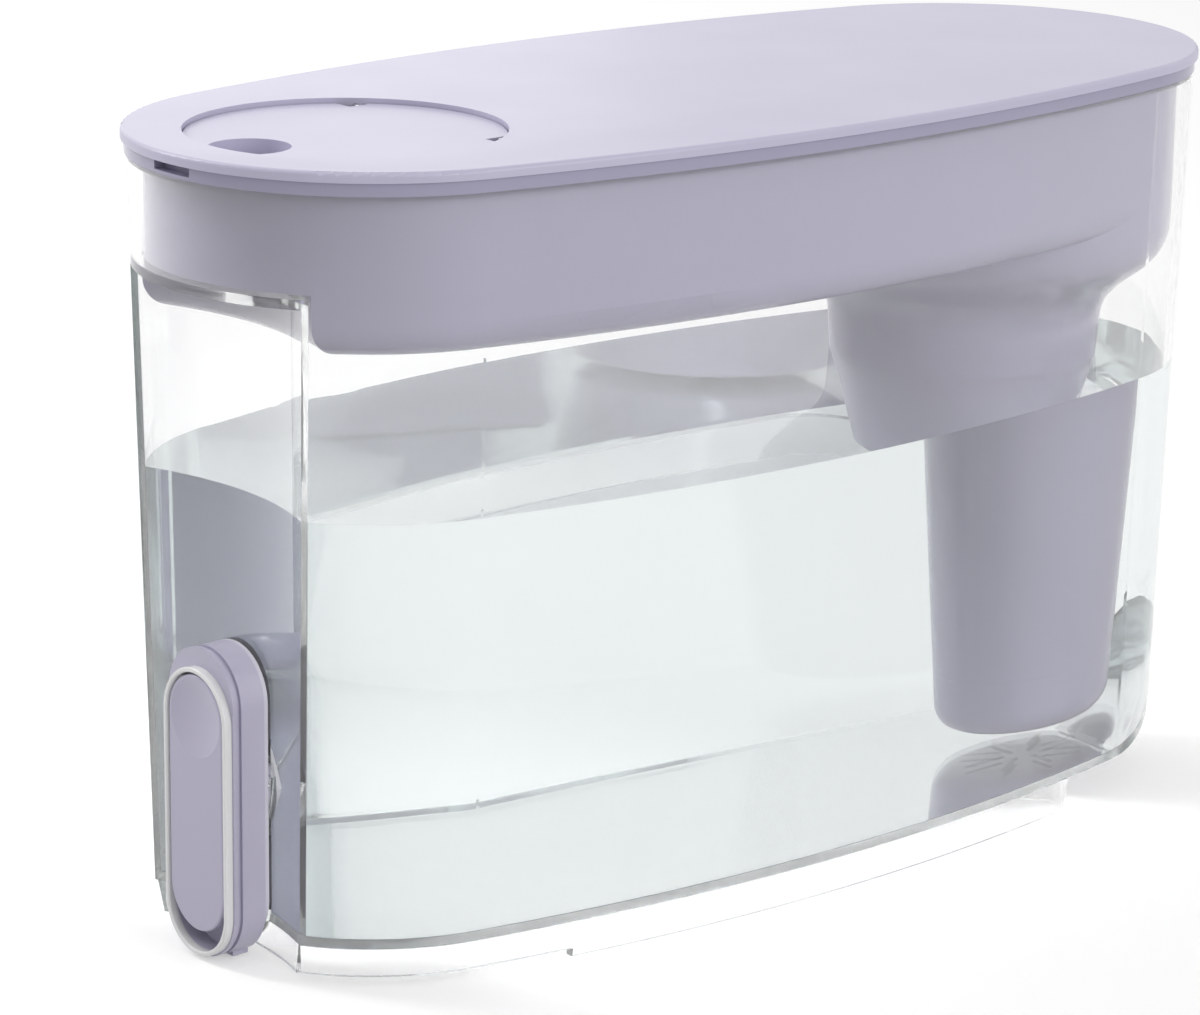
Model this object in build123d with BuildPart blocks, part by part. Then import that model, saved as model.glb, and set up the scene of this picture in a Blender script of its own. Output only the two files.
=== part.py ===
from build123d import *
import os
from math import sqrt

# Overall size: the tap end points to -Y, the long axis is Y, the floor is z = 0
length = 375.0
width = 165.0
height = 232.5
end_radius = 70.6

# Lid and reservoir rim
lid_edge = 3.0
lid_round = 1.2
rim_height = 3.8
rim_inset = 1.0
lid_skirt_clear = 0.4
lid_skirt_wall = 2.0
lid_skirt_gap = 0.5

# Tank walls
tank_wall = 2.5
tank_inset = 1.6
tank_draft = 0.0245
bead_height = 1.4
bead_proud = 0.45
foot_height = 11.7
foot_inset = 0.8
foot_draft = 0.18
foot_end_gap = 69.5
foot_corner = 24.0
foot_front_gap = 2.6
foot_front_length = 90.5
back_round = 55.0

# Recess for the tap in the front end of the tank
ledge_z = 194.0
recess_radius = 103.0
recess_depth = 23.0

# Reservoir: tray, funnel and filter cup
tray_gap = 1.0
tray_wall = 2.5
tray_floor_z = 180.0
tray_round = 9.0
neck_z = 145.0
neck_radius = 42.5
funnel_shift = 0.6
cup_seat_z = 128.0
cup_seat_width = 3.0
cup_seat_height = 2.0
cup_seam_z = 39.0
cup_seam_radius = 34.5
cup_wall = 2.0
cup_bottom_z = 20.5
cup_bottom_round = 8.0
cup_spigot = 5.0
spigot_gap = 0.1
drain_slot_width = 2.5
drain_slot_count = 8
thumb_notch_width = 16.0
thumb_notch_depth = 4.0

# Fill door in the lid
door_setback = 60.5
door_radius = 45.0
door_gap = 0.4
door_sink = 1.5
door_thickness = 1.85
door_ledge = 2.2
door_ledge_thickness = 1.25
door_axis_back = 30.0
door_pin_radius = 0.75
door_pin_length = 8.0
pin_gap = 0.05
pocket_radius = 11.5
pocket_offset = 33.0
pocket_depth = 5.5
pocket_wall = 1.4
pocket_lead = 1.0
nick_front = 5.0
nick_back = 1.6
nick_depth = 2.9
pin_seat = 3.0
pin_boss_wall = 1.2
pin_boss_length = 5.0

# Filter cartridge
filter_gap = 0.8
filter_wall = 1.5
filter_flange = 2.5
filter_bottom_z = 48.0
seal_height = 1.6
filter_dome = 7.0
filter_slot_count = 12
filter_slot_ring = 0.7
filter_grip_thickness = 3.0
filter_cap_lip = 3.0
filter_grip_height = 12.0
filter_grip_width = 22.0
screen_thickness = 0.8
screen_gap = 0.4
media_gap = 0.3

# Tap: outer body in the recess
tap_seat_proud = 2.0
tap_seat_bottom = 3.6
tap_gasket = 1.2
tap_depth = 10.8
tap_half_width = 15.2
tap_bottom = 0.8
tap_top = 91.5
tap_side_wall = 2.0
tap_back_wall = 2.4
tap_lip = 1.5
tap_groove = 1.4
tap_groove_depth = 0.9
bezel_half_width = 14.6
bezel_wall = 1.5
bezel_proud = 2.5
bezel_bottom = 1.2
bezel_top = 86.0
bezel_round = 0.5

# Tap: lever and its pivot
lever_gap = 0.6
lever_bottom = 8.5
lever_thickness = 2.5
lever_sink = 0.5
lever_rib = 1.7
lever_round = 0.6
dish_radius = 11.4
dish_depth = 1.3
pivot_z = 20.0
pivot_depth = 6.3
pivot_radius = 1.2
ear_inner = 8.2
ear_width = 3.0
ear_radius = 3.0
ear_root = 0.5
pin_end_wall = 0.5

# Tap: shank, valve and spring
shank_z = 50.0
shank_radius = 9.0
shank_bore = 6.0
shank_length = 19.0
spider_thickness = 2.0
spider_hub = 3.6
spider_arm = 1.8
spider_inset = 6.0
spider_arms = 3
spider_root = 0.5
stem_radius = 2.0
stem_socket_wall = 0.6
stem_slack = 0.3
stem_head_inset = 1.5
stem_gap = 0.05
stem_fit = 0.02
shank_clear = 0.3
seal_radius = 8.2
seal_thickness = 1.6
stem_head = 1.5
collar_radius = 5.0
collar_thickness = 1.2
collar_rest = 0.2
spring_radius = 4.0
spring_wire = 0.45
spring_turns = 6
chamber_half_width = 5.0
chamber_wall = 1.5
chamber_depth = 3.8
chamber_top = 58.0
chamber_back_wall = 0.8
nut_radius = 15.0
nut_height = 6.0
nut_sides = 6
nut_thread_gap = 0.1
nut_pad = 1.0
washer_height = 1.5
washer_radius = 13.5

# Heights and places worked out from the sizes above
lid_bottom = height - lid_edge
lid_skirt_depth = rim_height - lid_skirt_clear
tank_top = lid_bottom - rim_height
end_centre = length / 2 - end_radius
foot_end_y = length / 2 - foot_end_gap
foot_front_y = foot_front_length - length / 2
recess_y = recess_depth - length / 2
door_y = door_setback - length / 2
pocket_y = door_y - pocket_offset
side_radius = ((width / 2) ** 2 + end_centre**2 - end_radius**2) / (width - 2 * end_radius)
recess_centre = recess_y - recess_radius
tank_floor = foot_height + tank_wall
wall_inset_at_foot = tank_inset + tank_draft * (tank_top - foot_height)
tray_inset = tank_inset + tank_draft * (tank_top - tray_floor_z) + tank_wall + tray_gap
cup_taper = (neck_radius - cup_seam_radius) / (neck_z - cup_seam_z)
seat_radius = cup_seam_radius + cup_taper * (cup_seat_z - cup_seam_z) - cup_wall
door_top = height - door_sink
door_bottom = door_top - door_thickness
door_axis_y = door_y + door_axis_back
door_axis_z = (door_top + door_bottom) / 2
tap_seat_y = recess_y - tap_seat_proud
tap_back_y = tap_seat_y - tap_gasket
tap_front_y = tap_back_y - tap_depth
bezel_front_y = tap_front_y - bezel_proud
lever_front_y = bezel_front_y + lever_sink
lever_back_y = lever_front_y + lever_thickness
pocket_back_y = tap_back_y - tap_back_wall
pivot_y = tap_back_y - pivot_depth
shank_end_y = tap_back_y + shank_length
tank_inner_y = recess_y + tank_wall + nut_pad
cup_plane = Plane((0, end_centre, 0), x_dir=(1, 0, 0), z_dir=(0, -1, 0))
cup_axis = Axis((0, end_centre, 0), (0, 0, 1))


def egg(inset, z=0.0):
    """Plan outline at a height: four tangent arcs, moved inwards by inset."""
    end = end_radius - inset
    across = (side_radius - width / 2) / (side_radius - end_radius)
    along = end_centre / (side_radius - end_radius)
    x = end * across
    y = end_centre + end * along
    half = width / 2 - inset
    tip = end_centre + end
    with BuildSketch(Plane.XY.offset(z)) as outline:
        with BuildLine():
            ThreePointArc((x, -y), (half, 0), (x, y))
            ThreePointArc((x, y), (0, tip), (-x, y))
            ThreePointArc((-x, y), (-half, 0), (-x, -y))
            ThreePointArc((-x, -y), (0, -tip), (x, -y))
        make_face()
    return outline.sketch


def wall_inset(z):
    """Inset of the tank's drafted outer wall at a height."""
    return tank_inset + tank_draft * (tank_top - z)


def tapered_block(low_z, low_inset, high_z, high_inset):
    """Solid between two plan outlines."""
    loft([egg(low_inset, low_z), egg(high_inset, high_z)], ruled=True)


def front_plane(y):
    """Upright plane at y that looks out of the tap end."""
    return Plane.XZ.offset(-y)


def capsule(half_width, bottom, top, mode=Mode.ADD):
    """Upright slot with round ends."""
    with Locations((0, (bottom + top) / 2)):
        SlotOverall(top - bottom, 2 * half_width, rotation=90, mode=mode)


def side_profile(floor_z, inset):
    """Side view of the tank body, with its round back corner."""
    corner = back_round - inset
    corner_z = foot_height + back_round
    corner_y = length / 2 - wall_inset(corner_z) - back_round
    with BuildSketch(Plane.YZ) as profile:
        with BuildLine():
            low = Line((-length, floor_z), (corner_y, floor_z))
            bend = RadiusArc(low @ 1, (corner_y + corner, corner_z), -corner)
            rise = Line(bend @ 1, (length, height))
            over = Line(rise @ 1, (-length, height))
            Line(over @ 1, low @ 0)
        make_face()
    return profile.sketch


def foot_plan(inset, back_inset, z):
    """Plan outline of the foot, cut short at the back with round corners."""
    with BuildSketch(Plane.XY.offset(z)) as plan:
        add(egg(inset))
        with Locations((0, foot_end_y - back_inset)):
            Rectangle(width, 2 * length, align=(Align.CENTER, Align.MAX), mode=Mode.INTERSECT)
        fillet(plan.vertices().group_by(Axis.Y)[-1], foot_corner - back_inset)
    return plan.sketch


# Clear tank
with BuildPart() as cavity:
    tapered_block(tank_floor, wall_inset(tank_floor) + tank_wall, tank_top, tank_inset + tank_wall)
    extrude(side_profile(tank_floor, tank_wall), amount=width, both=True, mode=Mode.INTERSECT)
    with BuildSketch(Plane.XY):
        with Locations((0, recess_centre)):
            Circle(recess_radius + tank_wall)
    extrude(amount=ledge_z + tank_wall, mode=Mode.SUBTRACT)
    with BuildSketch(front_plane(tank_inner_y)):
        with Locations((0, shank_z)):
            Circle(nut_radius + nut_pad)
    extrude(amount=recess_radius, mode=Mode.SUBTRACT)

with BuildPart() as tank:
    tapered_block(foot_height, wall_inset_at_foot, tank_top, tank_inset)
    extrude(side_profile(foot_height, 0), amount=width, both=True, mode=Mode.INTERSECT)
    tapered_block(tank_top - bead_height, tank_inset, tank_top, tank_inset - bead_proud)
    with BuildSketch(Plane.XY):
        with Locations((0, recess_centre)):
            Circle(recess_radius)
    extrude(amount=ledge_z, mode=Mode.SUBTRACT)
    add(cavity.part, mode=Mode.SUBTRACT)
    # raised seat that the tap's gasket lies on
    with BuildSketch(front_plane(recess_y + tank_wall / 2)):
        capsule(tap_half_width, tap_seat_bottom, tap_top)
    extrude(amount=tap_seat_proud + tank_wall / 2)
    with BuildSketch(front_plane(tank_inner_y + nut_pad)):
        with Locations((0, shank_z)):
            Circle(shank_radius + shank_clear)
    extrude(amount=recess_radius, mode=Mode.SUBTRACT)
tank.part.label = "tank"


# Foot: a low ring bonded under the tank, cut away for the tap at the front
with BuildPart() as tank_foot:
    low_inset = wall_inset_at_foot + foot_inset + foot_draft * foot_height
    high_inset = wall_inset_at_foot + foot_inset
    loft([foot_plan(low_inset, 0, 0), foot_plan(high_inset, 0, foot_height)], ruled=True)
    with BuildSketch(Plane.XY):
        add(foot_plan(low_inset + tank_wall, tank_wall, 0))
        with Locations((0, recess_centre)):
            Circle(recess_radius + tank_wall, mode=Mode.SUBTRACT)
    extrude(amount=foot_height, mode=Mode.SUBTRACT)
    with BuildSketch(Plane.XY):
        with Locations((0, recess_centre)):
            Circle(recess_radius)
    extrude(amount=foot_height, mode=Mode.SUBTRACT)
    with Locations((0, foot_front_y, 0)):
        Box(
            width,
            length,
            2 * foot_front_gap,
            align=(Align.CENTER, Align.MAX, Align.CENTER),
            mode=Mode.SUBTRACT,
        )
    # room for the lower end of the tap's seat
    add(tank.part, mode=Mode.SUBTRACT)
tank_foot.part.label = "tank_foot"


def funnel_profile(inset, low_z, low_radius, top_z):
    """Half section of the funnel and cup, inset from the outer skin."""
    top_radius = end_radius - tray_inset - inset
    neck = neck_radius - inset
    shift = inset * funnel_shift
    with BuildSketch(cup_plane) as section:
        with BuildLine():
            wall = Line((low_radius, low_z), (neck, neck_z + shift))
            curve = Spline(wall @ 1, (top_radius, tray_floor_z + shift), tangents=[(0, 1), (0, 1)])
            rise = Line(curve @ 1, (top_radius, top_z))
            Polyline(rise @ 1, (0, top_z), (0, low_z), wall @ 0)
        make_face()
    return section.sketch


# Reservoir: the upper tray, whose back end runs down into the filter cup
inner_seam_radius = cup_seam_radius - cup_wall

tray_front_radius = recess_radius + tank_wall + tray_gap
tray_front_top = ledge_z + tank_wall + tray_gap

with BuildPart() as tray_room:
    extrude(
        egg(tray_inset + tray_wall, tray_floor_z + tray_wall),
        amount=lid_bottom - tray_floor_z - tray_wall,
    )
    with BuildSketch(Plane.XY.offset(tray_floor_z)):
        with Locations((0, recess_centre)):
            Circle(tray_front_radius + tray_wall)
    extrude(amount=tray_front_top + tray_wall - tray_floor_z, mode=Mode.SUBTRACT)
    fillet(tray_room.edges().group_by(Axis.Z)[0], tray_round - tray_wall)
    revolve(funnel_profile(tray_wall, cup_seam_z, inner_seam_radius, tank_top), axis=cup_axis)

with BuildPart() as reservoir:
    extrude(egg(tray_inset, tray_floor_z), amount=lid_bottom - tray_floor_z)
    with BuildSketch(Plane.XY.offset(tray_floor_z)):
        with Locations((0, recess_centre)):
            Circle(tray_front_radius)
    extrude(amount=tray_front_top - tray_floor_z, mode=Mode.SUBTRACT)
    fillet(reservoir.edges().group_by(Axis.Z)[0], tray_round)
    revolve(funnel_profile(0, cup_seam_z, cup_seam_radius, tank_top), axis=cup_axis)
    extrude(egg(rim_inset, tank_top), amount=rim_height)
    add(tray_room.part, mode=Mode.SUBTRACT)
    # seat for the filter cartridge
    with BuildSketch(Plane.XY.offset(cup_seat_z)):
        with Locations((0, end_centre)):
            Circle(seat_radius + cup_wall / 2)
            Circle(seat_radius - cup_seat_width, mode=Mode.SUBTRACT)
    extrude(amount=-cup_seat_height)
    # notch that frees the lid's front edge for a thumb
    with Locations((0, -length / 2 + rim_inset, lid_bottom)):
        Box(
            thumb_notch_width,
            2 * thumb_notch_depth,
            2 * (rim_height - 1),
            mode=Mode.SUBTRACT,
        )
reservoir.part.label = "reservoir"

# Cap that closes the bottom of the filter cup, with its drain slots
with BuildPart() as cup_base:
    with BuildSketch(cup_plane):
        with BuildLine():
            foot_radius = cup_seam_radius - cup_taper * (cup_seam_z - cup_bottom_z)
            spigot_radius = inner_seam_radius - spigot_gap
            Polyline(
                (0, cup_bottom_z),
                (foot_radius, cup_bottom_z),
                (cup_seam_radius, cup_seam_z),
                (spigot_radius, cup_seam_z),
                (spigot_radius, cup_seam_z + cup_spigot),
                (spigot_radius - cup_wall, cup_seam_z + cup_spigot),
                (foot_radius - cup_wall, cup_bottom_z + cup_wall),
                (0, cup_bottom_z + cup_wall),
                close=True,
            )
        make_face()
    revolve(axis=cup_axis)
    fillet(cup_base.edges().group_by(Axis.Z)[0], cup_bottom_round)
    with BuildSketch(Plane.XY.offset(cup_bottom_z)):
        with Locations((0, end_centre)):
            with PolarLocations(foot_radius / 2, drain_slot_count):
                SlotOverall(foot_radius / 2, drain_slot_width)
    extrude(amount=2 * cup_wall, mode=Mode.SUBTRACT)
cup_base.part.label = "cup_base"

# Lid: flat plate with a locating skirt, and the opening for the fill door
with BuildPart() as lid:
    extrude(egg(0, lid_bottom), amount=lid_edge)
    fillet(lid.edges().group_by(Axis.Z)[-1], lid_round)
    skirt_inset = tray_inset + tray_wall + lid_skirt_gap
    with BuildSketch(Plane.XY.offset(lid_bottom)):
        add(egg(skirt_inset))
        add(egg(skirt_inset + lid_skirt_wall), mode=Mode.SUBTRACT)
    extrude(amount=-lid_skirt_depth)
    with BuildSketch(Plane.XY.offset(door_bottom)):
        with Locations((0, door_y)):
            Circle(door_radius + door_gap + door_ledge)
    extrude(amount=-door_ledge_thickness)
    with BuildSketch(Plane.XY.offset(door_bottom)):
        with Locations((0, door_y)):
            Circle(door_radius + door_gap + door_ledge)
    extrude(amount=lid_bottom - door_bottom)
    with BuildSketch(Plane.XY.offset(door_bottom)):
        with Locations((0, door_y)):
            Circle(door_radius + door_gap)
    extrude(amount=height, mode=Mode.SUBTRACT)
    with BuildSketch(Plane.XY.offset(height)):
        with Locations((0, door_y)):
            Circle(door_radius - door_ledge)
    extrude(amount=-height, mode=Mode.SUBTRACT)
    # no ledge behind the door's axis, where the door's tail swings down
    with BuildSketch(Plane.XY.offset(door_bottom)):
        with Locations((0, door_y)):
            Circle(door_radius + door_gap)
        with Locations((0, door_axis_y - nick_front)):
            Rectangle(width, length, align=(Align.CENTER, Align.MIN), mode=Mode.INTERSECT)
    extrude(amount=-2 * door_ledge_thickness, mode=Mode.SUBTRACT)
    # bores for the door's two hinge pins
    with Locations(Plane((0, door_axis_y, door_axis_z), z_dir=(1, 0, 0))):
        Cylinder(door_pin_radius + pin_gap, 2 * door_radius - door_pin_length, mode=Mode.SUBTRACT)
lid.part.label = "lid"

# Fill door: a sunk disc with a finger pocket
door_chord = sqrt(door_radius**2 - door_axis_back**2)
pin_outer = sqrt((door_radius + door_gap) ** 2 - door_axis_back**2) + pin_seat
pin_inner = pin_outer - door_pin_length
pocket_tilt = Plane(
    (0, pocket_y - pocket_radius - pocket_lead, door_top),
    x_dir=(1, 0, 0),
    z_dir=(0, pocket_depth, 2 * pocket_radius),
)

with BuildPart() as pocket:
    with BuildSketch(Plane.XY.offset(door_top)):
        with Locations((0, pocket_y)):
            Circle(pocket_radius)
    extrude(amount=-pocket_depth - pocket_wall)
    split(bisect_by=pocket_tilt, keep=Keep.TOP)

with BuildPart() as pocket_shell:
    with BuildSketch(Plane.XY.offset(door_top)):
        with Locations((0, pocket_y)):
            Circle(pocket_radius + pocket_wall)
    extrude(amount=-pocket_depth - 2 * pocket_wall)
    split(bisect_by=pocket_tilt.offset(-pocket_wall), keep=Keep.TOP)
    with BuildSketch(Plane.XY.offset(door_top)):
        with Locations((0, door_y)):
            Circle(door_radius - door_ledge - 2 * door_gap)
    extrude(amount=-pocket_depth - 2 * pocket_wall, mode=Mode.INTERSECT)

with BuildPart() as fill_door:
    with BuildSketch(Plane.XY.offset(door_bottom)):
        with Locations((0, door_y)):
            Circle(door_radius)
    extrude(amount=door_thickness)
    add(pocket_shell.part)
    add(pocket.part, mode=Mode.SUBTRACT)
    # hinge pin bosses, level with the top of the disc
    for side in (-1, 1):
        with Locations(Plane((side * pin_inner, door_axis_y, door_axis_z), z_dir=(1, 0, 0))):
            Cylinder(door_pin_radius + pin_boss_wall, pin_boss_length)
            Cylinder(door_pin_radius, 2 * pin_boss_length, mode=Mode.SUBTRACT)
    with BuildSketch(Plane.XY.offset(door_top)):
        with Locations((0, door_y)):
            Circle(door_radius)
    extrude(amount=door_sink, mode=Mode.SUBTRACT)
    # nicks beside the hinge that let the disc turn up inside its round hole
    nick_inner = door_chord - nick_depth
    for side in (-1, 1):
        nick_x = side * (nick_inner + door_radius) / 2
        with Locations((nick_x, door_axis_y + (nick_back - nick_front) / 2, door_axis_z)):
            Box(
                door_radius - nick_inner,
                nick_front + nick_back,
                2 * door_thickness,
                mode=Mode.SUBTRACT,
            )
fill_door.part.label = "fill_door"

# Two steel pins that the fill door turns on
with BuildPart() as door_pins:
    for side in (-1, 1):
        pin_middle = side * (pin_outer + pin_inner) / 2
        with Locations(Plane((pin_middle, door_axis_y, door_axis_z), z_dir=(1, 0, 0))):
            Cylinder(door_pin_radius, door_pin_length)
door_pins.part.label = "door_pins"

# Filter cartridge that hangs in the cup on its flange and seal
seal_bottom = cup_seat_z
flange_bottom = seal_bottom + seal_height
flange_top = flange_bottom + filter_flange
filter_top_radius = seat_radius - cup_seat_width - filter_gap
filter_low_radius = filter_top_radius - cup_taper * (cup_seat_z - filter_bottom_z)
flange_radius = seat_radius - filter_gap

with BuildPart() as filter_housing:
    with BuildSketch(cup_plane):
        Polygon(
            (0, filter_bottom_z),
            (filter_low_radius, filter_bottom_z),
            (filter_top_radius, flange_bottom),
            (flange_radius, flange_bottom),
            (flange_radius, flange_top),
            (filter_top_radius - filter_wall, flange_top),
            (filter_low_radius - filter_wall, filter_bottom_z + filter_wall),
            (0, filter_bottom_z + filter_wall),
            align=None,
        )
    revolve(axis=cup_axis)
    with BuildSketch(Plane.XY.offset(filter_bottom_z)):
        with Locations((0, end_centre)):
            with PolarLocations(filter_low_radius / 2, drain_slot_count):
                SlotOverall(filter_low_radius / 2, drain_slot_width)
    extrude(amount=2 * filter_wall, mode=Mode.SUBTRACT)
filter_housing.part.label = "filter_housing"

with BuildPart() as filter_seal:
    with BuildSketch(Plane.XY.offset(seal_bottom)):
        with Locations((0, end_centre)):
            Circle(flange_radius)
            Circle(filter_top_radius + media_gap, mode=Mode.SUBTRACT)
    extrude(amount=seal_height)
filter_seal.part.label = "filter_seal"

screen_z = flange_top - filter_flange - screen_thickness
screen_radius = filter_top_radius - filter_wall - screen_gap

with BuildPart() as filter_screen:
    with BuildSketch(Plane.XY.offset(screen_z)):
        with Locations((0, end_centre)):
            Circle(screen_radius)
    extrude(amount=screen_thickness)
filter_screen.part.label = "filter_screen"

with BuildPart() as filter_media:
    with BuildSketch(cup_plane):
        low = filter_bottom_z + filter_wall
        low_radius = filter_low_radius - filter_wall - media_gap
        slope = (filter_top_radius - filter_low_radius) / (flange_bottom - filter_bottom_z)
        high_radius = low_radius + slope * (screen_z - low)
        Polygon((0, low), (low_radius, low), (high_radius, screen_z), (0, screen_z), align=None)
    revolve(axis=cup_axis)
filter_media.part.label = "filter_media"

with BuildPart() as filter_cap:
    with BuildSketch(cup_plane):
        with BuildLine():
            crown = ThreePointArc(
                (-flange_radius, flange_top),
                (0, flange_top + filter_dome),
                (flange_radius, flange_top),
            )
            inner = ThreePointArc(
                (-flange_radius + filter_cap_lip, flange_top),
                (0, flange_top + filter_dome - filter_wall),
                (flange_radius - filter_cap_lip, flange_top),
            )
            Line(crown @ 0, inner @ 0)
            Line(crown @ 1, inner @ 1)
        make_face()
        Rectangle(flange_radius, height, align=(Align.MIN, Align.MIN), mode=Mode.INTERSECT)
    revolve(axis=cup_axis)
    with BuildSketch(Plane.XY.offset(flange_top)):
        with Locations((0, end_centre)):
            with PolarLocations(flange_radius * filter_slot_ring, filter_slot_count):
                SlotOverall(flange_radius / 4, drain_slot_width)
    extrude(amount=2 * filter_dome, mode=Mode.SUBTRACT)
    # upright grip to lift the cartridge out by
    with Locations((0, end_centre, flange_top + filter_dome - filter_wall / 2)):
        Box(
            filter_grip_width,
            filter_grip_thickness,
            filter_grip_height,
            align=(Align.CENTER, Align.CENTER, Align.MIN),
        )
filter_cap.part.label = "filter_cap"

# Tap body: hollow capsule with a lip round its front and the shank behind
with BuildPart() as tap_body:
    with BuildSketch(front_plane(tap_back_y)):
        capsule(tap_half_width, tap_bottom, tap_top)
    extrude(amount=tap_depth)
    with BuildSketch(front_plane(tap_front_y + tap_lip + tap_groove)):
        capsule(tap_half_width, tap_bottom, tap_top)
        capsule(
            tap_half_width - tap_groove_depth,
            tap_bottom + tap_groove_depth,
            tap_top - tap_groove_depth,
            mode=Mode.SUBTRACT,
        )
    extrude(amount=tap_groove, mode=Mode.SUBTRACT)
    inner_half = tap_half_width - tap_side_wall
    with BuildSketch(front_plane(pocket_back_y)):
        capsule(inner_half, bezel_bottom + bezel_wall, bezel_top)
    extrude(amount=tap_depth, mode=Mode.SUBTRACT)
    # water chamber from the shank down to the outlet
    with BuildSketch(front_plane(tap_back_y)):
        with Locations((0, tap_bottom)):
            Rectangle(
                2 * (chamber_half_width + chamber_wall),
                chamber_top - tap_bottom,
                align=(Align.CENTER, Align.MIN),
            )
    extrude(amount=chamber_depth + chamber_wall)
    with BuildSketch(front_plane(tap_back_y - chamber_back_wall)):
        with Locations((0, 0)):
            Rectangle(2 * chamber_half_width, chamber_top - chamber_wall, align=(Align.CENTER, Align.MIN))
    extrude(amount=chamber_depth - chamber_back_wall, mode=Mode.SUBTRACT)
    with BuildSketch(front_plane(tap_back_y)):
        with Locations((0, shank_z)):
            Circle(shank_radius)
    extrude(amount=-shank_length)
    with BuildSketch(front_plane(shank_end_y)):
        with Locations((0, shank_z)):
            Circle(shank_bore)
    extrude(amount=shank_length + chamber_depth, mode=Mode.SUBTRACT)
    # spider that guides the valve stem
    spider_y = shank_end_y - spider_inset
    with BuildSketch(front_plane(spider_y)):
        with Locations((0, shank_z)):
            Circle(spider_hub)
            with PolarLocations(0, spider_arms):
                Rectangle(shank_bore + spider_root, spider_arm, align=(Align.MIN, Align.CENTER))
    extrude(amount=spider_thickness)
    with BuildSketch(front_plane(shank_end_y)):
        with Locations((0, shank_z)):
            Circle(stem_radius + stem_gap)
    extrude(amount=shank_length + tap_depth, mode=Mode.SUBTRACT)
    # bores for the two lever pins
    with Locations(Plane((0, pivot_y, pivot_z), z_dir=(1, 0, 0))):
        Cylinder(pivot_radius + pin_gap, 2 * tap_half_width - 1, mode=Mode.SUBTRACT)
tap_body.part.label = "tap_body"

# Clear bezel round the lever
with BuildPart() as tap_bezel:
    with BuildSketch(front_plane(tap_front_y)):
        capsule(bezel_half_width, bezel_bottom, bezel_top)
        capsule(
            bezel_half_width - bezel_wall,
            bezel_bottom + bezel_wall,
            bezel_top - bezel_wall,
            mode=Mode.SUBTRACT,
        )
    extrude(amount=bezel_proud)
    fillet(tap_bezel.edges().group_by(Axis.Y)[0], bezel_round)
tap_bezel.part.label = "tap_bezel"

# Lever: pressed at the thumb dish, it turns on two pins low in the tap
lever_half = bezel_half_width - bezel_wall - lever_gap
lever_top = bezel_top - bezel_wall - lever_gap
dish_z = lever_top - lever_half
ear_front_y = lever_back_y - ear_root
dish_sphere = (dish_radius**2 + dish_depth**2) / (2 * dish_depth)

with BuildPart() as tap_lever:
    with BuildSketch(front_plane(lever_back_y)):
        capsule(lever_half, lever_bottom, lever_top)
    extrude(amount=lever_thickness)
    fillet(tap_lever.edges().group_by(Axis.Y)[0], lever_round)
    with Locations((0, lever_front_y + dish_depth - dish_sphere, dish_z)):
        Sphere(dish_sphere, mode=Mode.SUBTRACT)
    with BuildSketch(front_plane(lever_back_y + lever_rib)):
        with Locations((0, shank_z)):
            Circle(stem_radius + stem_socket_wall)
    extrude(amount=lever_rib)
    for side in (-1, 1):
        with BuildSketch(Plane.YZ.offset(side * (ear_inner + ear_width / 2))):
            with Locations((pivot_y, pivot_z)):
                Circle(ear_radius)
            with Locations(((pivot_y + ear_front_y) / 2, pivot_z)):
                Rectangle(pivot_y - ear_front_y, 2 * ear_radius)
        extrude(amount=ear_width / 2, both=True)
    with Locations(Plane((0, pivot_y, pivot_z), z_dir=(1, 0, 0))):
        Cylinder(pivot_radius + pin_gap, 2 * tap_half_width, mode=Mode.SUBTRACT)
tap_lever.part.label = "tap_lever"

# Steel pins of the lever
lever_pin_length = tap_half_width - pin_end_wall - ear_inner
with BuildPart() as lever_pins:
    for side in (-1, 1):
        middle = side * (ear_inner + lever_pin_length / 2)
        with Locations(Plane((middle, pivot_y, pivot_z), z_dir=(1, 0, 0))):
            Cylinder(pivot_radius, lever_pin_length)
lever_pins.part.label = "lever_pins"

# Gaskets and nut that hold the tap in the tank wall
with BuildPart() as tap_outer_gasket:
    with BuildSketch(front_plane(tap_seat_y)):
        capsule(tap_half_width, tap_seat_bottom, tap_top)
        with Locations((0, shank_z)):
            Circle(shank_radius + shank_clear, mode=Mode.SUBTRACT)
    extrude(amount=tap_gasket)
tap_outer_gasket.part.label = "tap_outer_gasket"

with BuildPart() as tap_inner_gasket:
    with BuildSketch(front_plane(tank_inner_y + washer_height)):
        with Locations((0, shank_z)):
            Circle(washer_radius)
            Circle(shank_radius + shank_clear, mode=Mode.SUBTRACT)
    extrude(amount=washer_height)
tap_inner_gasket.part.label = "tap_inner_gasket"

with BuildPart() as tap_nut:
    with BuildSketch(front_plane(tank_inner_y + washer_height + nut_height)):
        with Locations((0, shank_z)):
            RegularPolygon(nut_radius, nut_sides)
            Circle(shank_radius + nut_thread_gap, mode=Mode.SUBTRACT)
    extrude(amount=nut_height)
tap_nut.part.label = "tap_nut"

# Valve: stem, rubber seal, collar and return spring
stem_front_y = lever_back_y + lever_rib + stem_slack
head_y = shank_end_y + seal_thickness
collar_y = tap_back_y - collar_rest
with BuildPart() as valve_stem:
    with BuildSketch(front_plane(head_y)):
        with Locations((0, shank_z)):
            Circle(stem_radius)
    extrude(amount=head_y - stem_front_y)
    with BuildSketch(front_plane(head_y + stem_head)):
        with Locations((0, shank_z)):
            Circle(seal_radius - stem_head_inset)
    extrude(amount=stem_head)
valve_stem.part.label = "valve_stem"

with BuildPart() as valve_seal:
    with BuildSketch(front_plane(head_y)):
        with Locations((0, shank_z)):
            Circle(seal_radius)
            Circle(stem_radius + stem_fit, mode=Mode.SUBTRACT)
    extrude(amount=seal_thickness)
valve_seal.part.label = "valve_seal"

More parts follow.
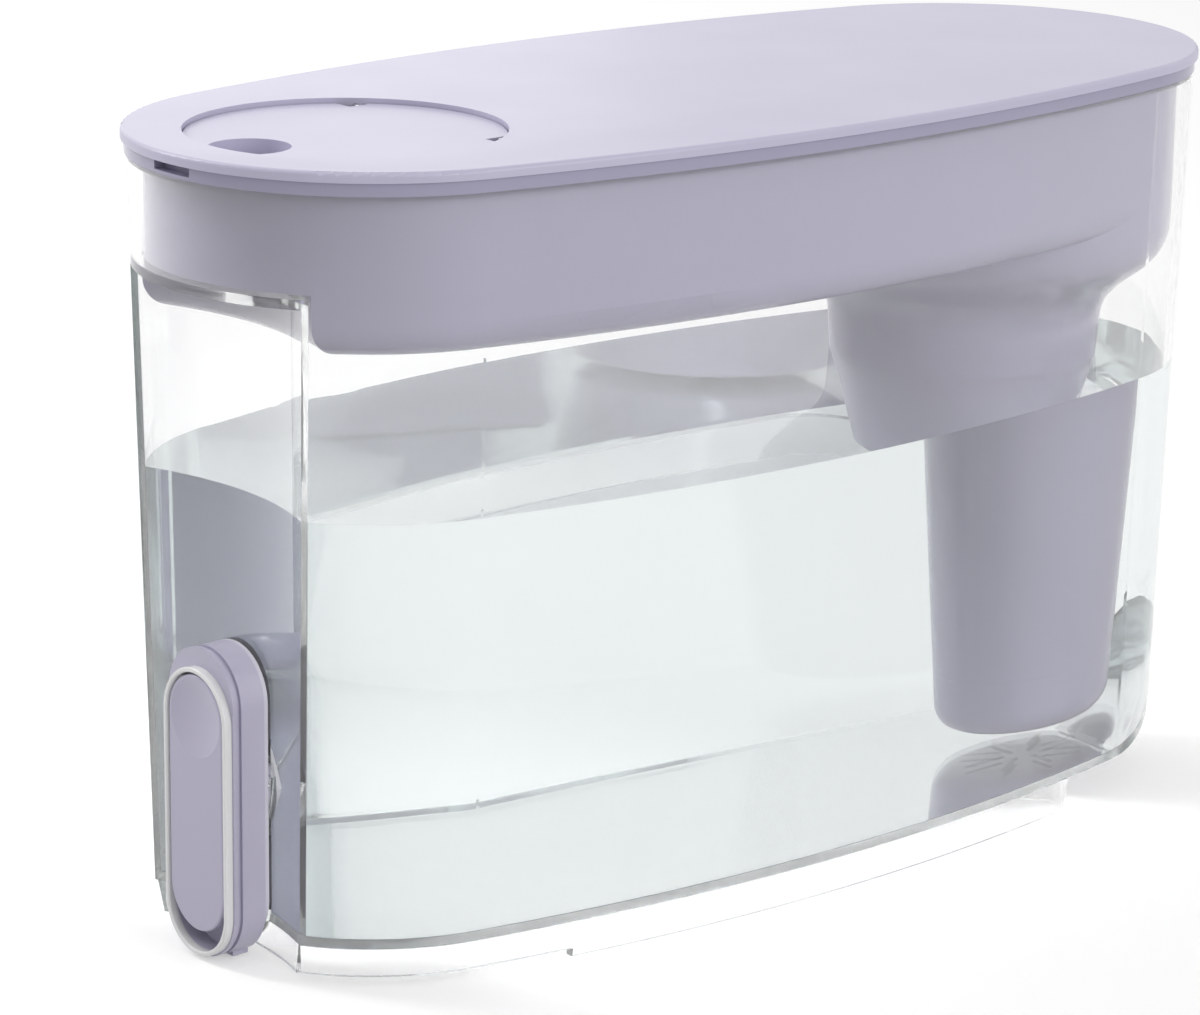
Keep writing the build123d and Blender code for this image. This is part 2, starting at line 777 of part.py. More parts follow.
with BuildPart() as spring_collar:
    with BuildSketch(front_plane(collar_y + collar_thickness)):
        with Locations((0, shank_z)):
            Circle(collar_radius)
            Circle(stem_radius + stem_fit, mode=Mode.SUBTRACT)
    extrude(amount=collar_thickness)
spring_collar.part.label = "spring_collar"

spring_start_y = collar_y + collar_thickness + spring_wire
spring_end_y = spider_y - spider_thickness - spring_wire
spring_height = spring_end_y - spring_start_y
with BuildPart() as valve_spring:
    with BuildLine() as coil:
        Helix(
            spring_height / spring_turns,
            spring_height,
            spring_radius - spring_wire,
            center=(0, spring_start_y, shank_z),
            direction=(0, 1, 0),
        )
    with BuildSketch(Plane(coil.line @ 0, z_dir=coil.line % 0)):
        Circle(spring_wire)
    sweep(path=coil.line, is_frenet=True)
valve_spring.part.label = "valve_spring"

pieces = [
    tank,
    tank_foot,
    reservoir,
    cup_base,
    lid,
    fill_door,
    door_pins,
    filter_housing,
    filter_seal,
    filter_screen,
    filter_media,
    filter_cap,
    tap_body,
    tap_bezel,
    tap_lever,
    lever_pins,
    tap_outer_gasket,
    tap_inner_gasket,
    tap_nut,
    valve_stem,
    valve_seal,
    spring_collar,
    valve_spring,
]

os.makedirs("parts", exist_ok=True)
for piece in pieces:
    export_step(piece.part, f"parts/{piece.part.label}.step")
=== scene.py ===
"""Looks of an oval water filter dispenser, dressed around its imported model."""

import logging
import math
from dataclasses import dataclass, field
from enum import Enum

import bpy
from mathutils import Matrix, Vector

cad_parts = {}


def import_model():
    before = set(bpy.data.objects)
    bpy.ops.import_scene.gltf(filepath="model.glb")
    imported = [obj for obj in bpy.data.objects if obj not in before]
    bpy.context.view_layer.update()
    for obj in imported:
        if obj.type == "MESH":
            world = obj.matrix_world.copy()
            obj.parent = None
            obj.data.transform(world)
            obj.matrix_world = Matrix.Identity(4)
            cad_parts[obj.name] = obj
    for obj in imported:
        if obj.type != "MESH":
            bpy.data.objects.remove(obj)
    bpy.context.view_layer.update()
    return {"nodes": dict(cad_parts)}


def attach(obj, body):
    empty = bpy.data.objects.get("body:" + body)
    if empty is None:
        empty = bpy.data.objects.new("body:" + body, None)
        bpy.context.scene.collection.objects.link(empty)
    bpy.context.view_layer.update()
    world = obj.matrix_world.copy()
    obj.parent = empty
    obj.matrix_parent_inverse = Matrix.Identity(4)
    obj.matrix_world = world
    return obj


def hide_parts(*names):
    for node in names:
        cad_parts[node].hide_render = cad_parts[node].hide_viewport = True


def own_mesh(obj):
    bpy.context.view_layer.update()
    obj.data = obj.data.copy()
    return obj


log = logging.getLogger("dispenser")
MM = 0.001
# The sRGB curve: a straight foot, then a power
FOOT_END = 0.04045
FOOT_SLOPE = 12.92
CURVE_OFFSET = 0.055
CURVE_POWER = 2.4
# Socket numbers of a Mix node that mixes colours
MIX_SHARE = 0
MIX_FIRST = 6
MIX_SECOND = 7
MIX_RESULT = 2
# Octaves of a noise, from cloudy to crisp
CLOUDY = 1.0
CRISP = 2.0
RICH = 3.0
# A Wave texture draws about three bands for a scale of one
BANDS_PER_SCALE = 3
# Bounces are whole numbers, so this lies between none and one
HALF_A_BOUNCE = 0.5
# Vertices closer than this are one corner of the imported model
MERGE_MM = 0.002
# Faces that meet at less than this are one curved face
CURVED_BELOW_DEG = 35.0


class Body(Enum):
    """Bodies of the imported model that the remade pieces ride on."""

    TANK = "tank"
    RESERVOIR = "reservoir"
    LID = "lid"
    DOOR = "fill_door"


def linear(colour: str) -> tuple[float, float, float, float]:
    """Turn a written sRGB colour into the linear values that shaders take.

    Args:
        colour: six hex digits with a leading hash.

    Returns:
        Red, green, blue and an alpha of one.
    """
    parts = []
    for start in (1, 3, 5):
        value = int(colour[start : start + 2], 16) / 255
        if value <= FOOT_END:
            parts.append(value / FOOT_SLOPE)
        else:
            parts.append(((value + CURVE_OFFSET) / (1 + CURVE_OFFSET)) ** CURVE_POWER)
    return (*parts, 1.0)


def add_node(
    tree: bpy.types.NodeTree,
    kind: str,
    settings: dict | None = None,
    links: dict | None = None,
) -> bpy.types.Node:
    """Add one shader node with its settings and links.

    Args:
        tree: tree that gets the node.
        kind: Blender's name for the node's type.
        settings: values of its own properties and of its input sockets.
        links: output sockets that feed its input sockets.

    Returns:
        The new node.
    """
    made = tree.nodes.new(kind)
    for name, value in (settings or {}).items():
        if isinstance(name, str) and name.islower() and hasattr(made, name):
            setattr(made, name, value)
        else:
            made.inputs[name].default_value = value
    for name, source in (links or {}).items():
        tree.links.new(made.inputs[name], source)
    return made


def per_metre(size_mm: float) -> float:
    """Turn the size of a pattern's features into its texture scale."""
    return 1.0 / (size_mm * MM)


@dataclass(frozen=True)
class Finish:
    """What every finish shares: a name and a colour."""

    name: str
    colour: str

    def blank(self) -> tuple[bpy.types.Material, bpy.types.NodeTree]:
        """Make an empty node material.

        Returns:
            The material and its tree.
        """
        material = bpy.data.materials.new(self.name)
        material.use_nodes = True
        material.node_tree.nodes.clear()
        return material, material.node_tree

    def material(self) -> bpy.types.Material:
        """Find the finish's material, or make it the first time."""
        found = bpy.data.materials.get(self.name)
        return found if found else self.make()

    def make(self) -> bpy.types.Material:
        """Make the material. Each kind of finish has its own way."""
        raise NotImplementedError


@dataclass(frozen=True)
class Solid(Finish):
    """Finish of a real material, with its roughness and refractive index."""

    roughness: float
    ior: float


@dataclass(frozen=True)
class MouldedPlastic(Solid):
    """Opaque injection moulding, with a fine tool texture and slight mottling."""

    shade: str = "#A0A0A0"
    grain_mm: float = 0.35
    grain_height_mm: float = 0.006
    mottle_mm: float = 38.0
    gloss_drift: float = 0.03

    def make(self) -> bpy.types.Material:
        """Make pigment that drifts a little, under a skin with fine grain."""
        material, tree = self.blank()
        where = add_node(tree, "ShaderNodeTexCoord").outputs["Object"]
        drift = add_node(
            tree,
            "ShaderNodeTexNoise",
            {"Scale": per_metre(self.mottle_mm), "Detail": RICH},
            {"Vector": where},
        )
        pigment = add_node(
            tree,
            "ShaderNodeMix",
            {
                "data_type": "RGBA",
                MIX_FIRST: linear(self.colour),
                MIX_SECOND: linear(self.shade),
            },
            {MIX_SHARE: drift.outputs["Fac"]},
        )
        grain = add_node(
            tree,
            "ShaderNodeTexNoise",
            {"Scale": per_metre(self.grain_mm), "Detail": CRISP},
            {"Vector": where},
        )
        skin = add_node(
            tree,
            "ShaderNodeBump",
            {"Strength": 1.0, "Distance": self.grain_height_mm * MM},
            {"Height": grain.outputs["Fac"]},
        )
        wear = add_node(
            tree,
            "ShaderNodeMapRange",
            {
                "To Min": self.roughness - self.gloss_drift,
                "To Max": self.roughness + self.gloss_drift,
            },
            {"Value": drift.outputs["Fac"]},
        )
        shader = add_node(
            tree,
            "ShaderNodeBsdfPrincipled",
            {"IOR": self.ior},
            {
                "Base Color": pigment.outputs[MIX_RESULT],
                "Roughness": wear.outputs["Result"],
                "Normal": skin.outputs["Normal"],
            },
        )
        add_node(tree, "ShaderNodeOutputMaterial", links={"Surface": shader.outputs[0]})
        return material


@dataclass(frozen=True)
class ClearPlastic(Solid):
    """Clear moulded plastic, tinted only where light runs far inside it."""

    tint: str = "#D5E2DF"
    tint_per_metre: float = 3.0
    flow_mm: float = 60.0
    flow_height_mm: float = 0.02
    clearness: float = 1.0
    flow_strength: float = 0.35

    def make(self) -> bpy.types.Material:
        """Make a clear solid with a faint flow of the mould in its skin."""
        material, tree = self.blank()
        where = add_node(tree, "ShaderNodeTexCoord").outputs["Object"]
        flow = add_node(
            tree,
            "ShaderNodeTexNoise",
            {"Scale": per_metre(self.flow_mm), "Detail": CLOUDY},
            {"Vector": where},
        )
        skin = add_node(
            tree,
            "ShaderNodeBump",
            {"Strength": self.flow_strength, "Distance": self.flow_height_mm * MM},
            {"Height": flow.outputs["Fac"]},
        )
        shader = add_node(
            tree,
            "ShaderNodeBsdfPrincipled",
            {
                "Base Color": linear(self.colour),
                "Roughness": self.roughness,
                "IOR": self.ior,
                "Transmission Weight": self.clearness,
            },
            {"Normal": skin.outputs["Normal"]},
        )
        depth = add_node(
            tree,
            "ShaderNodeVolumeAbsorption",
            {"Color": linear(self.tint), "Density": self.tint_per_metre},
        )
        add_node(
            tree,
            "ShaderNodeOutputMaterial",
            links={"Surface": shader.outputs[0], "Volume": depth.outputs[0]},
        )
        return material


@dataclass(frozen=True)
class DrawnSteel(Solid):
    """Stainless wire and pins, drawn through a die, so fine lines run along X."""

    line_mm: float = 0.12
    line_stretch: float = 0.02
    gloss_drift: float = 0.08

    def make(self) -> bpy.types.Material:
        """Make bare metal whose gloss changes across its drawing lines."""
        material, tree = self.blank()
        where = add_node(tree, "ShaderNodeTexCoord").outputs["Object"]
        along = add_node(
            tree,
            "ShaderNodeMapping",
            {"Scale": (self.line_stretch, 1.0, 1.0)},
            {"Vector": where},
        )
        lines = add_node(
            tree,
            "ShaderNodeTexNoise",
            {"Scale": per_metre(self.line_mm), "Detail": CRISP},
            {"Vector": along.outputs["Vector"]},
        )
        gloss = add_node(
            tree,
            "ShaderNodeMapRange",
            {
                "To Min": self.roughness - self.gloss_drift,
                "To Max": self.roughness + self.gloss_drift,
            },
            {"Value": lines.outputs["Fac"]},
        )
        shader = add_node(
            tree,
            "ShaderNodeBsdfPrincipled",
            {"Base Color": linear(self.colour), "Metallic": 1.0, "IOR": self.ior},
            {"Roughness": gloss.outputs["Result"]},
        )
        add_node(tree, "ShaderNodeOutputMaterial", links={"Surface": shader.outputs[0]})
        return material


@dataclass(frozen=True)
class WovenMesh(Solid):
    """Fine woven plastic cloth of a filter screen."""

    gap_colour: str = "#6E7076"
    thread_mm: float = 0.9
    thread_height_mm: float = 0.1

    def make(self) -> bpy.types.Material:
        """Make crossing threads, drawn coarser than the real ones so they show."""
        material, tree = self.blank()
        where = add_node(tree, "ShaderNodeTexCoord").outputs["Object"]
        threads = []
        for direction in ("X", "Y"):
            bands = add_node(
                tree,
                "ShaderNodeTexWave",
                {
                    "bands_direction": direction,
                    "Scale": per_metre(self.thread_mm) / BANDS_PER_SCALE,
                },
                {"Vector": where},
            )
            threads.append(bands.outputs["Fac"])
        weave = add_node(
            tree,
            "ShaderNodeMath",
            {"operation": "MAXIMUM"},
            dict(enumerate(threads)),
        )
        shade = add_node(
            tree,
            "ShaderNodeMix",
            {
                "data_type": "RGBA",
                MIX_FIRST: linear(self.gap_colour),
                MIX_SECOND: linear(self.colour),
            },
            {MIX_SHARE: weave.outputs[0]},
        )
        lift = add_node(
            tree,
            "ShaderNodeBump",
            {"Strength": 1.0, "Distance": self.thread_height_mm * MM},
            {"Height": weave.outputs[0]},
        )
        shader = add_node(
            tree,
            "ShaderNodeBsdfPrincipled",
            {"Roughness": self.roughness, "IOR": self.ior},
            {"Base Color": shade.outputs[MIX_RESULT], "Normal": lift.outputs["Normal"]},
        )
        add_node(tree, "ShaderNodeOutputMaterial", links={"Surface": shader.outputs[0]})
        return material


@dataclass(frozen=True)
class Granules(Solid):
    """Packed bed of activated carbon grains."""

    gap_colour: str = "#0E0E10"
    grain_mm: float = 1.1
    grain_height_mm: float = 0.5

    def make(self) -> bpy.types.Material:
        """Make grains that differ in height and in how grey they are."""
        material, tree = self.blank()
        where = add_node(tree, "ShaderNodeTexCoord").outputs["Object"]
        grains = add_node(
            tree,
            "ShaderNodeTexVoronoi",
            {"Scale": per_metre(self.grain_mm)},
            {"Vector": where},
        )
        tone = add_node(
            tree,
            "ShaderNodeMix",
            {
                "data_type": "RGBA",
                MIX_FIRST: linear(self.gap_colour),
                MIX_SECOND: linear(self.colour),
            },
            {MIX_SHARE: grains.outputs["Color"]},
        )
        heap = add_node(
            tree,
            "ShaderNodeBump",
            {"Strength": 1.0, "Distance": self.grain_height_mm * MM, "invert": True},
            {"Height": grains.outputs["Distance"]},
        )
        shader = add_node(
            tree,
            "ShaderNodeBsdfPrincipled",
            {"Roughness": self.roughness, "IOR": self.ior},
            {"Base Color": tone.outputs[MIX_RESULT], "Normal": heap.outputs["Normal"]},
        )
        add_node(tree, "ShaderNodeOutputMaterial", links={"Surface": shader.outputs[0]})
        return material


@dataclass(frozen=True)
class PaleFloor(Finish):
    """Plain pale paper under the object, which keeps a soft shadow."""

    own_light: float = 0.43
    shadow_share: str = "#D2D2D2"

    def make(self) -> bpy.types.Material:
        """Make paper white to the eye and to glass, with part of the shadow."""
        material, tree = self.blank()
        seen = seen_rays(tree)
        paper = add_node(tree, "ShaderNodeBsdfDiffuse", {"Color": linear(self.colour)})
        shadow = add_node(tree, "ShaderNodeBsdfDiffuse", {"Color": linear(self.shadow_share)})
        glow = add_node(
            tree,
            "ShaderNodeEmission",
            {"Color": linear("#FFFFFF"), "Strength": self.own_light},
        )
        sheet = add_node(
            tree,
            "ShaderNodeAddShader",
            links={0: shadow.outputs[0], 1: glow.outputs[0]},
        )
        shader = add_node(
            tree,
            "ShaderNodeMixShader",
            links={0: seen, 1: paper.outputs[0], 2: sheet.outputs[0]},
        )
        add_node(tree, "ShaderNodeOutputMaterial", links={"Surface": shader.outputs[0]})
        return material


def seen_rays(tree: bpy.types.NodeTree) -> bpy.types.NodeSocket:
    """Join the rays that show a background: direct, mirrored and through glass.

    A ray that a dull surface has scattered brings light and shows no background.

    Args:
        tree: tree that gets the nodes.

    Returns:
        Socket that is one for such a ray.
    """
    rays = add_node(tree, "ShaderNodeLightPath").outputs
    seen = rays["Is Camera Ray"]
    for kind in ("Is Glossy Ray", "Is Transmission Ray"):
        seen = add_node(
            tree,
            "ShaderNodeMath",
            {"operation": "MAXIMUM"},
            {0: seen, 1: rays[kind]},
        ).outputs[0]
    unscattered = add_node(
        tree,
        "ShaderNodeMath",
        {"operation": "LESS_THAN", 1: HALF_A_BOUNCE},
        {0: rays["Diffuse Depth"]},
    )
    shown = add_node(
        tree,
        "ShaderNodeMath",
        {"operation": "MULTIPLY"},
        {0: seen, 1: unscattered.outputs[0]},
    )
    return shown.outputs[0]


# Styrene acrylonitrile, polished mould: clear, a little hazy, grey-green seen edge on
CLEAR_TANK = ClearPlastic("clear_tank_plastic", "#FFFFFF", 0.0, 1.5, clearness=0.97)
# The same plastic in the small ring, which is mostly milky white
CLEAR_RING = ClearPlastic(
    "clear_ring_plastic", "#FFFFFF", 0.04, 1.5, tint="#E6E5EE", clearness=0.25
)
# Pigmented ABS, satin mould: soft highlights and a fine grain. Same lavender as the tray,
# painted lighter: painted light on the top
LID_PLASTIC_WITH_PAINTED_LIGHT = MouldedPlastic("satin_lid_plastic_painted_light", "#C1BDD3", 0.34, 1.5, "#BBB7CD")
# Pigmented ABS, polished mould: smooth walls with soft reflections. Same lavender as the lid,
# painted darker: painted shade on the upright walls
TRAY_PLASTIC_WITH_PAINTED_SHADE = MouldedPlastic(
    "smooth_tray_plastic_painted_shade", "#A39FB7", 0.16, 1.5, "#9E9AB2", 0.5, 0.0004, 45.0
)
# Pigmented ABS of the tap, satin. Same lavender as the tray, painted lighter: painted light
# against the shade of the recess it sits in
TAP_PLASTIC_WITH_PAINTED_LIGHT = MouldedPlastic("satin_tap_plastic_painted_light", "#BAB6CA", 0.3, 1.5, "#B5B1C5", 0.3)
# Pigmented ABS of the lever, smooth to the thumb
LEVER_PLASTIC = MouldedPlastic("lever_plastic", "#B9B5CA", 0.3, 1.5, "#B4B0C5", 0.3, 0.002)
# Natural polypropylene of the cartridge: white and waxy
CARTRIDGE_PLASTIC = MouldedPlastic("cartridge_plastic", "#E6E6E8", 0.45, 1.49, "#DFDFE2")
# Acetal of the nut and the valve: white, dense and slick
ACETAL = MouldedPlastic("acetal", "#DCDCE0", 0.3, 1.48, "#D4D4D9", 0.3, 0.003)
# Silicone rubber: pale grey, matt, with a dusty skin
SILICONE = MouldedPlastic("silicone_rubber", "#CFCDD8", 0.6, 1.41, "#C5C3CF", 0.2, 0.01, 8.0)
# Stainless steel wire: drawn, so bright with fine lines
STEEL = DrawnSteel("drawn_steel", "#C3C5C8", 0.28, 1.5)
# Polyester screen cloth: pale threads over dark gaps
SCREEN_CLOTH = WovenMesh("screen_cloth", "#D6D8DC", 0.6, 1.5)
# Activated carbon: black, dull and granular
CARBON = Granules("carbon_granules", "#2C2C30", 0.85, 1.5)
# Filtered water: clear, with a faint cool tint over the tank's length
WATER = ClearPlastic("filtered_water", "#FFFFFF", 0.0, 1.333, "#DFE8E8", 4.5, 90.0, 0.0)
# Paper that looks white, and lights the object as a pale grey
FLOOR_PAPER = PaleFloor("pale_floor", "#CFCFD0")


def dress(node: bpy.types.Object, finish: Finish) -> None:
    """Give an object one finish in every material slot.

    Args:
        node: object to dress.
        finish: what it is made of.
    """
    material = finish.material()
    if not node.material_slots:
        node.data.materials.append(material)
    for slot in node.material_slots:
        slot.material = material
    log.info("%s is dressed in %s", node.name, finish.name)


def activate(piece: bpy.types.Object) -> None:
    """Make one object the only selected and active one.

    Args:
        piece: object to work on next.
    """
    bpy.ops.object.select_all(action="DESELECT")
    piece.select_set(True)
    bpy.context.view_layer.objects.active = piece


def merged_copy(node: bpy.types.Object, name: str) -> bpy.types.Object:
    """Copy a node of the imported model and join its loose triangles.

    Args:
        node: node to copy, which stays as it is.
        name: name of the copy.

    Returns:
        The copy, in the same place.
    """
    piece = bpy.data.objects.new(name, node.data.copy())
    bpy.context.scene.collection.objects.link(piece)
    activate(piece)
    bpy.ops.mesh.customdata_custom_splitnormals_clear()
    bpy.ops.object.mode_set(mode="EDIT")
    bpy.ops.mesh.select_mode(type="VERT")
    bpy.ops.mesh.select_all(action="SELECT")
    bpy.ops.mesh.remove_doubles(threshold=MERGE_MM * MM)
    bpy.ops.object.mode_set(mode="OBJECT")
    return piece


@dataclass
class EdgeRelief:
    """Small radius that a mould leaves on a sharp edge."""

    width_mm: float = 0.25
    segments: int = 2
    from_deg: float = 40.0
    flat_deg: float = 0.2
    smooth_deg: float = 30.0

    def apply(self, piece: bpy.types.Object) -> None:
        """Round the sharp edges of a merged copy and smooth its skin.

        Args:
            piece: copy to work on.
        """
        activate(piece)
        bpy.ops.object.mode_set(mode="EDIT")
        bpy.ops.mesh.select_all(action="SELECT")
        bpy.ops.mesh.dissolve_limited(angle_limit=math.radians(self.flat_deg))
        bpy.ops.object.mode_set(mode="OBJECT")
        bpy.ops.object.shade_smooth_by_angle(angle=math.radians(self.smooth_deg))
        rounding = piece.modifiers.new("edge_relief", "BEVEL")
        rounding.width = self.width_mm * MM
        rounding.segments = self.segments
        rounding.limit_method = "ANGLE"
        rounding.angle_limit = math.radians(self.from_deg)
        rounding.harden_normals = True
        bpy.ops.object.modifier_apply(modifier=rounding.name)


@dataclass
class Assembly:
    """A sub-assembly: the nodes it keeps and the ones it remakes with finer edges."""

    nodes: dict[str, bpy.types.Object]
    kept: dict[str, Finish] = field(default_factory=dict)
    relieved: dict[str, tuple[Finish, Body, str]] = field(default_factory=dict)
    relief: EdgeRelief = field(default_factory=EdgeRelief)

    def dress(self) -> None:
        """Give every kept node its finish."""
        for name, finish in self.kept.items():
            dress(self.nodes[name], finish)

    def build(self) -> None:
        """Remake the nodes whose moulded edges catch the light."""
        for name, (finish, body, slot) in self.relieved.items():
            piece = merged_copy(self.nodes[name], f"{name}_moulded")
            self.relief.apply(piece)
            dress(piece, finish)
            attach(piece, body.value)
            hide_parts(name)
            log.info("%s is remade with %d faces", name, len(piece.data.polygons))


@dataclass
class Tank(Assembly):
    """Clear shell on its bonded foot."""

    bond_gap_mm: float = 0.03
    foot_height_mm: float = 11.7

    def build(self) -> None:
        """Remake the foot with the hairline of its bond under the shell."""
        foot = merged_copy(self.nodes["tank_foot"], "tank_foot_ring")
        bpy.ops.object.mode_set(mode="EDIT")
        bpy.ops.mesh.select_all(action="SELECT")
        share = 1 - self.bond_gap_mm / self.foot_height_mm
        bpy.ops.transform.resize(value=(1, 1, share), center_override=(0, 0, 0))
        bpy.ops.object.mode_set(mode="OBJECT")
        bpy.ops.object.shade_smooth_by_angle(angle=math.radians(CURVED_BELOW_DEG))
        dress(foot, CLEAR_TANK)
        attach(foot, Body.TANK.value)
        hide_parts("tank_foot")
        foot.visible_shadow = False
        self.nodes["tank"].visible_shadow = False
        log.info("foot ring is bonded under the shell")


@dataclass
class Tap(Assembly):
    """Press tap, whose return spring shortens as the valve opens."""

    spring_length_mm: float = 10.0
    valve_travel_mm: float = 2.9
    spring_seat_y_mm: float = -156.7

    def build(self) -> None:
        """Remake the moulded pieces, and the spring as a merged copy with a mesh of its own.
        """
        super().build()
        spring = merged_copy(self.nodes["valve_spring"], "valve_spring_wire")
        bpy.ops.object.shade_smooth_by_angle(angle=math.radians(CURVED_BELOW_DEG))
        dress(spring, STEEL)
        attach(spring, Body.TANK.value)
        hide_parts("valve_spring")
        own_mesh(spring)
        log.info("return spring shortens with the valve")


@dataclass
class Water:
    """Water that stands in the tank, left unattached to the object's bodies."""

    tank: bpy.types.Object
    level_mm: float = 134.4
    soak_mm: float = 0.2
    heart_half_length_mm: float = 60.0
    heart_height_mm: float = 110.0
    smooth_deg: float = 30.0

    def is_outside(self, face: bpy.types.MeshPolygon) -> bool:
        """Tell whether a face of the shell looks away from the water.

        Args:
            face: face of the shell.

        Returns:
            True for the outer skin.
        """
        reach = self.heart_half_length_mm * MM
        along = max(-reach, min(reach, face.center.y))
        heart = Vector((0.0, along, self.heart_height_mm * MM))
        return face.normal.dot(face.center - heart) > 0

    def build(self) -> None:
        """Cut the shell's inner skin at the water level and close it."""
        water = merged_copy(self.tank, "water")
        bpy.ops.object.mode_set(mode="EDIT")
        bpy.ops.mesh.select_mode(type="FACE")
        bpy.ops.mesh.select_all(action="DESELECT")
        bpy.ops.object.mode_set(mode="OBJECT")
        for face in water.data.polygons:
            face.select = self.is_outside(face)
        bpy.ops.object.mode_set(mode="EDIT")
        bpy.ops.mesh.delete(type="FACE")
        bpy.ops.mesh.select_all(action="SELECT")
        bpy.ops.mesh.bisect(
            plane_co=(0, 0, self.level_mm * MM),
            plane_no=(0, 0, 1),
            use_fill=True,
            clear_outer=True,
        )
        bpy.ops.mesh.select_all(action="SELECT")
        bpy.ops.mesh.fill_holes(sides=0)
        bpy.ops.mesh.select_all(action="SELECT")
        bpy.ops.mesh.normals_make_consistent(inside=False)
        bpy.ops.transform.shrink_fatten(value=self.soak_mm * MM)
        bpy.ops.object.mode_set(mode="OBJECT")
        bpy.ops.object.shade_smooth_by_angle(angle=math.radians(self.smooth_deg))
        dress(water, WATER)
        water.visible_shadow = False
        log.info("water has %d faces", len(water.data.polygons))


@dataclass(frozen=True)
class SoftBox:
    """Studio lamp behind white cloth, placed in metres."""

    name: str
    place: tuple[float, float, float]
    size: tuple[float, float]
    watts: float


SOFT_BOXES = (
    SoftBox("overhead_soft_box", (-0.4, -0.4, 1.9), (1.6, 1.6), 4.0),
    SoftBox("window_soft_box", (-1.7, 0.75, 0.66), (1.1, 1.1), 2.2),
    SoftBox("key_soft_box", (1.9, 0.3, 0.8), (1.2, 1.2), 13.0),
    SoftBox("strip_soft_box", (-1.15, -0.75, 1.1), (0.2, 0.9), 10.0),
)


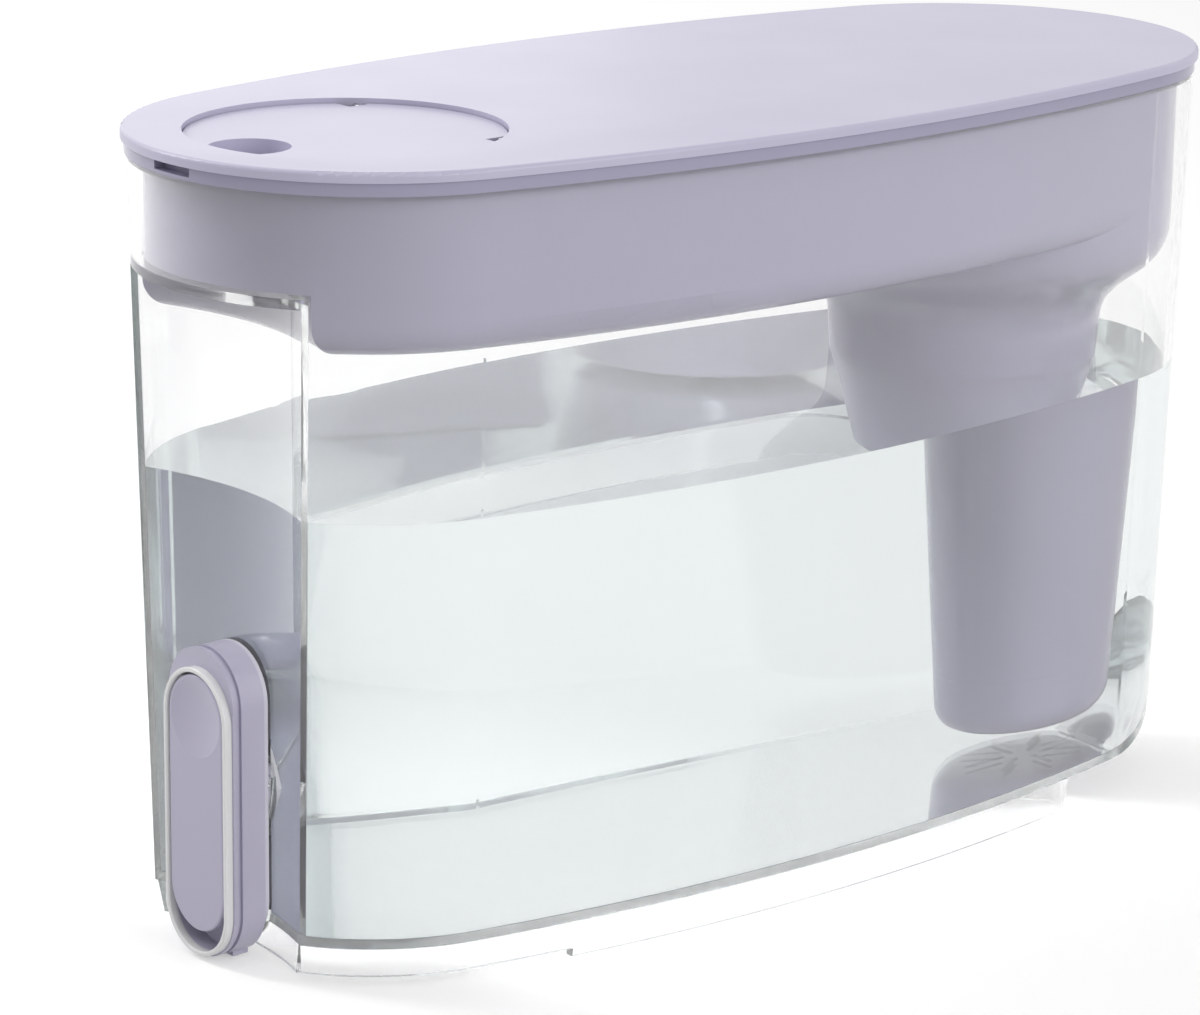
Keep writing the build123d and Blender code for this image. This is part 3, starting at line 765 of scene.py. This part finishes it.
@dataclass
class Studio:
    """Pale floor, soft light and the photograph's camera."""

    eye_mm: tuple[float, float, float] = (1005.9, -899.9, 472.8)
    azimuth_deg: float = 49.06
    elevation_deg: float = 15.37
    roll_deg: float = 0.74
    lens_mm: float = 139.14
    sensor_mm: float = 36.0
    shift: tuple[float, float] = (-0.0104, -0.00127)
    sight_m: float = 20.0
    floor_m: float = 8.0
    floor_drop_mm: float = 0.1
    ambient: float = 0.62
    bounces: int = 48
    lamps_aim_m: tuple[float, float, float] = (0.0, -0.05, 0.15)

    def camera(self) -> None:
        """Place the camera at the photograph's angle."""
        turn = math.radians(self.azimuth_deg)
        drop = math.radians(self.elevation_deg)
        roll = math.radians(self.roll_deg)
        ahead = Vector(
            (
                -math.sin(turn) * math.cos(drop),
                math.cos(turn) * math.cos(drop),
                -math.sin(drop),
            )
        )
        right = ahead.cross(Vector((0, 0, 1))).normalized()
        above = right.cross(ahead)
        across = right * math.cos(roll) + above * math.sin(roll)
        upward = above * math.cos(roll) - right * math.sin(roll)
        data = bpy.data.cameras.new("camera")
        data.lens = self.lens_mm
        data.sensor_width = self.sensor_mm
        data.shift_x, data.shift_y = self.shift
        data.clip_end = self.sight_m
        camera = bpy.data.objects.new("camera", data)
        bpy.context.scene.collection.objects.link(camera)
        axes = Matrix((across, upward, -ahead)).transposed().to_4x4()
        camera.matrix_world = Matrix.Translation(Vector(self.eye_mm) * MM) @ axes
        bpy.context.scene.camera = camera

    def light_paths(self) -> None:
        """Let light bounce on inside thick clear edges, and keep colours as written."""
        scene = bpy.context.scene
        scene.view_settings.view_transform = "Standard"
        scene.cycles.max_bounces = self.bounces
        scene.cycles.glossy_bounces = self.bounces
        scene.cycles.transmission_bounces = self.bounces

    def world(self) -> None:
        """Show white to the eye and to glass, and light the rest softly."""
        world = bpy.data.worlds.new("studio")
        bpy.context.scene.world = world
        world.use_nodes = True
        tree = world.node_tree
        tree.nodes.clear()
        lights = []
        for strength in (self.ambient, 1.0):
            lights.append(
                add_node(
                    tree,
                    "ShaderNodeBackground",
                    {"Color": linear("#FFFFFF"), "Strength": strength},
                )
            )
        mixed = add_node(
            tree,
            "ShaderNodeMixShader",
            links={0: seen_rays(tree), 1: lights[0].outputs[0], 2: lights[1].outputs[0]},
        )
        add_node(tree, "ShaderNodeOutputWorld", links={"Surface": mixed.outputs[0]})

    def lamp(self, box: SoftBox) -> None:
        """Hang one soft box.

        Args:
            box: its name, place, size and power.
        """
        data = bpy.data.lights.new(box.name, "AREA")
        data.shape = "RECTANGLE"
        data.size, data.size_y = box.size
        data.energy = box.watts
        lamp = bpy.data.objects.new(box.name, data)
        bpy.context.scene.collection.objects.link(lamp)
        look = Vector(self.lamps_aim_m) - Vector(box.place)
        lamp.location = box.place
        lamp.rotation_euler = look.to_track_quat("-Z", "Y").to_euler()
        lamp.visible_camera = False
        lamp.visible_transmission = False

    def build(self) -> None:
        """Set up the floor, the light and the camera."""
        bpy.ops.object.select_all(action="DESELECT")
        bpy.ops.mesh.primitive_plane_add(size=self.floor_m, location=(0, 0, 0))
        floor = bpy.context.active_object
        floor.name = "floor"
        bpy.ops.object.transform_apply()
        bpy.ops.object.mode_set(mode="EDIT")
        bpy.ops.mesh.select_all(action="SELECT")
        bpy.ops.transform.translate(value=(0, 0, -self.floor_drop_mm * MM))
        bpy.ops.object.mode_set(mode="OBJECT")
        dress(floor, FLOOR_PAPER)
        self.world()
        for box in SOFT_BOXES:
            self.lamp(box)
        self.light_paths()
        self.camera()
        log.info("studio is set")


def main() -> None:
    """Build the sub-assemblies in order."""
    logging.basicConfig(level=logging.INFO, format="%(message)s")
    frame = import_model()
    nodes = frame["nodes"]
    Water(nodes["tank"]).build()
    tank = Tank(nodes, kept={"tank": CLEAR_TANK})
    reservoir = Assembly(
        nodes,
        kept={"reservoir": TRAY_PLASTIC_WITH_PAINTED_SHADE},
        relieved={"cup_base": (TRAY_PLASTIC_WITH_PAINTED_SHADE, Body.RESERVOIR, "lavender_shell")},
        relief=EdgeRelief(0.6),
    )
    lid = Assembly(
        nodes,
        kept={"door_pins": STEEL},
        relieved={
            "lid": (LID_PLASTIC_WITH_PAINTED_LIGHT, Body.LID, "lavender_lid"),
            "fill_door": (LID_PLASTIC_WITH_PAINTED_LIGHT, Body.DOOR, "lavender_lid"),
        },
    )
    cartridge = Assembly(
        nodes,
        kept={
            "filter_housing": CARTRIDGE_PLASTIC,
            "filter_cap": CARTRIDGE_PLASTIC,
            "filter_seal": SILICONE,
            "filter_screen": SCREEN_CLOTH,
            "filter_media": CARBON,
        },
    )
    tap = Tap(
        nodes,
        kept={
            "tap_bezel": CLEAR_RING,
            "tap_lever": LEVER_PLASTIC,
            "lever_pins": STEEL,
            "tap_outer_gasket": SILICONE,
            "tap_inner_gasket": SILICONE,
            "valve_stem": ACETAL,
            "valve_seal": SILICONE,
            "spring_collar": ACETAL,
        },
        relieved={
            "tap_body": (TAP_PLASTIC_WITH_PAINTED_LIGHT, Body.TANK, "lavender_tap"),
            "tap_nut": (ACETAL, Body.TANK, "nut_plastic"),
        },
    )
    for assembly in (tank, reservoir, lid, cartridge, tap):
        assembly.build()
        assembly.dress()
    Studio().build()


if __name__ == "__main__":
    main()
